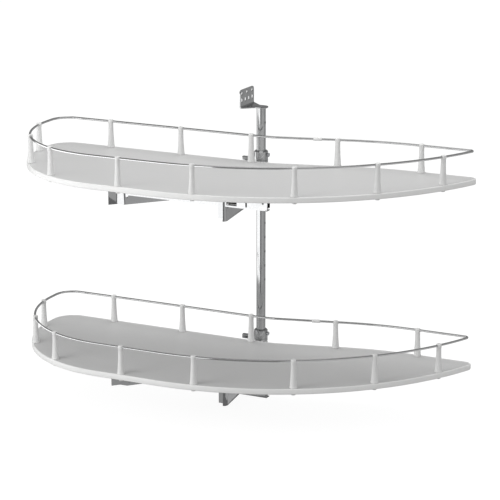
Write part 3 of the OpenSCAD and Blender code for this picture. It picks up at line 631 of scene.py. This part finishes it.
def bareShadedInside(tube, spec, low, high):
    # the plating ends at the holes' rims: their walls and the bore are bare steel, made near black as painted
    # shade inside the holes and the bore
    tube.data.materials.append(finishes["bare_shaded_bore"])
    inner, end = spec["radius"] - spec["plateDepth"], spec["plateEnd"]
    for face in tube.data.polygons:
        x, y, z = face.center / mm
        if math.hypot(x, y) < inner and low + end < z < high - end:
            face.material_index = 1


def buildColumn(spec):
    low, high = [corner.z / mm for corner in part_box("column_tube")]
    bm = bmesh.new()
    turnedRing(bm, plainRing(spec, low, high), Matrix(), spec["around"])
    tube = makePiece("drawn_tube", bm, "column", "chromed_steel", ("column_tube",))
    drill = [(spec["holeRadius"], spec["holeFrom"]), (spec["holeRadius"], spec["holeTo"])]
    cutters = bmesh.new()
    for k in range(1, spec["holeCount"] + 1):
        spot = Matrix.Translation((0, 0, (high - k * spec["holePitch"]) * mm))
        lathe(cutters, drill, spot @ Matrix.Rotation(math.pi / 2, 4, "Y"), spec["holeAround"])
    cutAway(tube, cutters)
    trueRound(tube)
    bareShadedInside(tube, spec, low, high)


# heights of the keeper are counted from its tray's top
keeper = {"radius": 15, "bore": 10.05, "low": -8, "high": 18, "ease": 0.5, "groove": 0.5, "grooveAt": -2.5,
    "chamfer": 2, "rimRun": 0.3, "rimTurn": 0.1, "rimDrop": 0.15, "boreEase": 0.4,
    "lugReach": 45, "lugRoot": 11, "lugWide": 10, "lugTall": 9, "lugCorner": 3, "lugRootCorner": 0.3,
    "lugStep": 15, "lugEase": 0.5}
support = {"radius": 16, "bore": 10.05, "ease": 1.0}
hub = {"radius": 15, "bore": 13, "ease": 0.4}
collarAround = 72


def keeperProfile(spec, top):
    bore, radius, ease, inward = spec["bore"], spec["radius"], spec["ease"], spec["radius"] - spec["chamfer"]
    low, high, at, deep = spec["low"], spec["high"], spec["grooveAt"], spec["groove"]
    rim, run, turn = high - spec["chamfer"], spec["rimRun"], spec["rimTurn"]
    profile = [(bore, low), (radius - ease, low), (radius, low + ease), (radius, at - deep),
        (radius - deep, at), (radius, at + deep), (radius, rim - run), (radius - turn, rim),
        (inward + turn, high - spec["rimDrop"]), (inward - run, high), (bore + spec["boreEase"], high),
        (bore, high - spec["boreEase"])]
    return [(across, top + height) for across, height in profile]


def lugMesh(bm, spec, top):
    # a bar from the collar with a rounded end
    half, corner, inner = spec["lugWide"] / 2, spec["lugCorner"], spec["lugRootCorner"]
    outline = roundedLine([(-spec["lugReach"], half, corner), (-spec["lugReach"], -half, corner),
        (-spec["lugRoot"], -half, inner), (-spec["lugRoot"], half, inner)], spec["lugStep"])
    low, ease = top + spec["low"], spec["lugEase"]
    high = low + spec["lugTall"]
    cappedStack(bm, insetRings(outline, ((ease, low), (0, low + ease), (0, high - ease), (ease, high))))


def buildTurned(level):
    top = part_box(level + "_board")[1].z / mm
    bm = bmesh.new()
    turnedRing(bm, keeperProfile(keeper, top), Matrix(), collarAround)
    lugMesh(bm, keeper, top)
    trueRound(makePiece(level + "_keeper_ring", bm, "column", "chromed_steel", (level + "_keeper_collar",)))
    for node, spec, body in (("support_collar", support, "column"), ("hub", hub, level + "_frame")):
        low, high = [corner.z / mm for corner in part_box(level + "_" + node)]
        bm = bmesh.new()
        turnedRing(bm, plainRing(spec, low, high), Matrix(), collarAround)
        trueRound(makePiece(level + "_turned_" + node, bm, body, "chromed_steel", (level + "_" + node,)))


buildColumn(column)
for level in levels:
    buildTurned(level)
print("column and collars turned")

# widths of the rounded edges
softEdges = {"top_bracket": 0.5, "foot_plate": 0.5, "top_plug": 0.4, "top_screw": 0.3, "collar_screws": 0.4}
levelEdges = {"bushes": 0.35, "long_arm": 0.45, "short_arm": 0.45, "outer_rail": 0.25, "rivets": 0.8,
    "rail_stops": 0.5, "glides": 0.8, "ball_cage": 0.15, "inner_rail": 0.25, "angle": 0.4,
    "angle_screws": 0.6}
# the ball cage and inner rail take the dark oiled steel, which also paints the shade inside the rail
levelFinish = {"ball_cage": "greased_shaded_steel", "inner_rail": "greased_shaded_steel"}
for node, width in softEdges.items():
    softened(node, width)
for level in levels:
    for node, width in levelEdges.items():
        softened(level + "_" + node, width, levelFinish.get(node))
print("steelwork eased")

# Weld beads in the corners between the hub and the arms, which run from it towards these points
weld = {"arms": {"long_arm": (-210, -235.25), "short_arm": (30, -235.25)}, "armHalf": 1.25, "size": 1.5,
    "ripple": 0.16, "pitch": 1.9, "parts": 5, "endShare": 0.4, "endGap": 3, "sink": 0.3, "around": 12,
    "sharp": 60}


def beadProfile(spec, low, high):
    step, end = spec["pitch"] / spec["parts"], spec["endShare"] * spec["size"]
    count = math.floor((high - low) / step)
    profile = [(end, low - step)]
    for k in range(count + 1):
        swell = 1 + spec["ripple"] * abs(math.sin(math.pi * k / spec["parts"]))
        profile.append((spec["size"] * swell / (1 + spec["ripple"]), low + k * step))
    return profile + [(end, low + (count + 1) * step)]


def buildBeads(level, spec):
    bm = bmesh.new()
    for arm, aim in spec["arms"].items():
        low, high = [corner.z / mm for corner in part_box(level + "_" + arm)]
        way = Vector(aim).normalized()
        side = Vector((-way.y, way.x))
        profile = beadProfile(spec, low + spec["endGap"], high - spec["endGap"])
        along, aside = hub["radius"] + spec["sink"], spec["armHalf"] + spec["sink"]
        for hand in (-1, 1):
            spot = (way * along + side * hand * aside) * mm
            lathe(bm, profile, turnedAt(spot.x, spot.y, 0), spec["around"])
    makePiece(level + "_weld_beads", bm, level + "_frame", "chromed_steel", (), spec["sharp"])


for level in levels:
    buildBeads(level, weld)
print("arms welded")

balls = {"splits": 3, "sharp": 180}


def looseParts(mesh):
    # the points of each part of a mesh that hangs together
    bm = bmesh.new()
    bm.from_mesh(mesh)
    bmesh.ops.remove_doubles(bm, verts=bm.verts, dist=mergeGap)
    parts, seen = [], set()
    for vert in bm.verts:
        if vert in seen:
            continue
        stack, part = [vert], []
        while stack:
            here = stack.pop()
            if here in seen:
                continue
            seen.add(here)
            part.append(here.co.copy())
            stack += [edge.other_vert(here) for edge in here.link_edges]
        parts.append(part)
    bm.free()
    return parts


for level in levels:
    bm = bmesh.new()
    parts = looseParts(nodes[level + "_balls"].data)
    for part in parts:
        lows = [min(point[axis] for point in part) for axis in range(3)]
        highs = [max(point[axis] for point in part) for axis in range(3)]
        centre = [(low + high) / 2 for low, high in zip(lows, highs)]
        bmesh.ops.create_icosphere(bm, subdivisions=balls["splits"], radius=(highs[2] - lows[2]) / 2,
            matrix=Matrix.Translation(centre))
    makePiece(level + "_ball_row", bm, level + "_cage", "bright_steel", (level + "_balls",), balls["sharp"])
print("balls on each slide:", len(parts))


# Stage, light and camera, in metres

stageSpec = {"floorHalf": 30.0, "floorParts": 8, "glowTone": 0.93, "shadowTone": 0.16, "bounceTone": 0.45,
    "skyTone": (0.99, 0.99, 0.985), "skyLevel": 0.6, "sightTone": (1.0, 1.0, 1.0)}


def whiteToSight(tree):
    # one where a ray comes from the camera, a mirror or glass
    path = tree.nodes.new("ShaderNodeLightPath")
    seen = mathNode(tree, "MAXIMUM", path.outputs["Is Camera Ray"], path.outputs["Is Glossy Ray"])
    return mathNode(tree, "MAXIMUM", seen, path.outputs["Is Transmission Ray"])


def stageMesh(name, bm, material):
    mesh = bpy.data.meshes.new(name)
    bm.to_mesh(mesh)
    bm.free()
    mesh.materials.append(material)
    thing = bpy.data.objects.new(name, mesh)
    bpy.context.scene.collection.objects.link(thing)
    return thing


def emptyMaterial(name):
    material = bpy.data.materials.new(name)
    material.use_nodes = True
    tree = material.node_tree
    tree.nodes.clear()
    return material, tree, tree.nodes.new("ShaderNodeOutputMaterial")


def mixShaders(tree, share, first, second):
    mix = tree.nodes.new("ShaderNodeMixShader")
    for socket, value in zip(mix.inputs, (share, first, second)):
        tree.links.new(value, socket)
    return mix.outputs[0]


def greyShader(tree, kind, tone):
    node = tree.nodes.new(kind)
    node.inputs["Color"].default_value = (tone, tone, tone, 1.0)
    return node.outputs[0]


def mattShader(tree, tone):
    return greyShader(tree, "ShaderNodeBsdfDiffuse", tone)


def glowShader(tree, tone):
    return greyShader(tree, "ShaderNodeEmission", tone)


def buildFloor(spec):
    material, tree, out = emptyMaterial("palePaper")
    paper = tree.nodes.new("ShaderNodeAddShader")
    tree.links.new(glowShader(tree, spec["glowTone"]), paper.inputs[0])
    tree.links.new(mattShader(tree, spec["shadowTone"]), paper.inputs[1])
    both = mixShaders(tree, whiteToSight(tree), mattShader(tree, spec["bounceTone"]), paper.outputs[0])
    tree.links.new(both, out.inputs["Surface"])
    bm = bmesh.new()
    parts = spec["floorParts"]
    bmesh.ops.create_grid(bm, x_segments=parts, y_segments=parts, size=spec["floorHalf"])
    stageMesh("studio_floor", bm, material)


def buildSky(spec):
    world = bpy.data.worlds.new("studioRoom")
    bpy.context.scene.world = world
    world.use_nodes = True
    tree = world.node_tree
    tree.nodes.clear()
    out = tree.nodes.new("ShaderNodeOutputWorld")
    room = tree.nodes.new("ShaderNodeBackground")
    room.inputs["Color"].default_value = (*spec["skyTone"], 1.0)
    room.inputs["Strength"].default_value = spec["skyLevel"]
    white = tree.nodes.new("ShaderNodeBackground")
    white.inputs["Color"].default_value = (*spec["sightTone"], 1.0)
    both = mixShaders(tree, whiteToSight(tree), room.outputs[0], white.outputs[0])
    tree.links.new(both, out.inputs["Surface"])


# Grey flags and a bright panel round the set, which only mirrors see
# Their angles are counted from the camera to the right, their profiles are (distance, height) pairs
flagInner, flagSplit, flagOuter, flagTop = (0.06, 0.004), (0.85, 0.004), (3.0, 0.004), (3.2, 0.75)
flagWall = [flagInner, flagOuter, flagTop]
flagSpecs = {
    "ceiling_flag": {"from": -180, "to": 180, "tone": 0.22,
        "profile": [flagTop, (2.9, 1.6), (2.2, 2.5), (1.0, 3.1)]},
    "near_flag": {"from": -26, "to": 5, "tone": 0.2, "profile": flagWall},
    "side_flag": {"from": 5, "to": 64, "tone": 0.52, "profile": flagWall},
    "far_flag": {"from": 64, "to": 172, "tone": 0.39, "profile": flagWall},
    "back_flag": {"from": 172, "to": 232, "tone": 0.18, "profile": flagWall},
    "low_flag": {"from": -128, "to": -26, "tone": 0.43, "profile": [flagInner, flagSplit]},
    "left_panel": {"from": -128, "to": -26, "tone": 1.7, "profile": [flagSplit, flagOuter, flagTop]}}
flagTurn, flagFewest = 6, 4  # degrees in a step, and the least steps


def buildFlags(specs, heading):
    for name, spec in specs.items():
        material, tree, out = emptyMaterial(name)
        tree.links.new(glowShader(tree, spec["tone"]), out.inputs["Surface"])
        bm = bmesh.new()
        span = spec["to"] - spec["from"]
        steps = max(flagFewest, round(span / flagTurn))
        rows = []
        for step in range(steps + 1):
            angle = math.radians(heading + spec["from"] + span * step / steps)
            x, y = math.sin(angle), -math.cos(angle)
            rows.append([bm.verts.new((far * x, far * y, height)) for far, height in spec["profile"]])
        for first, second in zip(rows, rows[1:]):
            for i in range(len(first) - 1):
                bm.faces.new((first[i], first[i + 1], second[i + 1], second[i]))
        flag = stageMesh(name, bm, material)
        for sight in ("camera", "diffuse", "transmission", "shadow", "volume_scatter"):
            setattr(flag, "visible_" + sight, False)


lampSpecs = {
    "left_window": {"kind": "SUN", "from": (-0.5, -0.6, 0.25), "aim": (0, 0, 0), "level": 0.75, "spread": 40},
    "top_softbox": {"kind": "AREA", "from": (0.05, 0.35, 2.2), "aim": (0, -0.15, 0.5), "level": 13.6,
        "wide": 1.4, "deep": 0.8},
    "front_softbox": {"kind": "AREA", "from": (-0.35, -0.95, 1.35), "aim": (-0.1, -0.35, 0.5), "level": 1.25,
        "wide": 0.9, "deep": 0.5},
    "low_softbox": {"kind": "AREA", "from": (-0.55, -1.0, 0.5), "aim": (-0.2, -0.3, 0.45), "level": 1.6,
        "wide": 0.35, "deep": 0.35},
    "right_softbox": {"kind": "AREA", "from": (1.7, -0.4, 0.9), "aim": (0.2, -0.2, 0.4), "level": 2.0,
        "wide": 0.8, "deep": 0.8},
    "back_softbox": {"kind": "AREA", "from": (-0.3, 1.9, 1.3), "aim": (0, -0.1, 0.4), "level": 4.2,
        "wide": 1.2, "deep": 0.9}}


def buildLamps(specs):
    for name, spec in specs.items():
        data = bpy.data.lights.new(name, spec["kind"])
        data.energy = spec["level"]
        if spec["kind"] == "SUN":
            data.angle = math.radians(spec["spread"])
        else:
            data.shape = "RECTANGLE"
            data.size, data.size_y = spec["wide"], spec["deep"]
        lamp = bpy.data.objects.new(name, data)
        lamp.location = spec["from"]
        lamp.rotation_euler = (Vector(spec["aim"]) - Vector(spec["from"])).to_track_quat("-Z", "Y").to_euler()
        lamp.visible_camera = False
        lamp.visible_glossy = False
        bpy.context.scene.collection.objects.link(lamp)


cameraSpec = {"at": (1.9146, -4.0336, 1.5213), "heading": 25.703, "pitch": 15.136, "lens": 151.68,
    "sensor": 36.0, "reach": 100.0}


def buildCamera(spec):
    data = bpy.data.cameras.new("photo_view")
    data.sensor_width = spec["sensor"]
    data.lens = spec["lens"]
    data.clip_end = spec["reach"]
    camera = bpy.data.objects.new("photo_view", data)
    side, down = math.radians(spec["heading"]), math.radians(spec["pitch"])
    look = Vector((-math.sin(side) * math.cos(down), math.cos(side) * math.cos(down), -math.sin(down)))
    camera.location = spec["at"]
    camera.rotation_euler = look.to_track_quat("-Z", "Y").to_euler()
    bpy.context.scene.collection.objects.link(camera)
    bpy.context.scene.camera = camera


buildFloor(stageSpec)
buildSky(stageSpec)
buildFlags(flagSpecs, cameraSpec["heading"])
buildLamps(lampSpecs)
buildCamera(cameraSpec)
bpy.context.scene.view_settings.view_transform = "Standard"
print("stage lit")
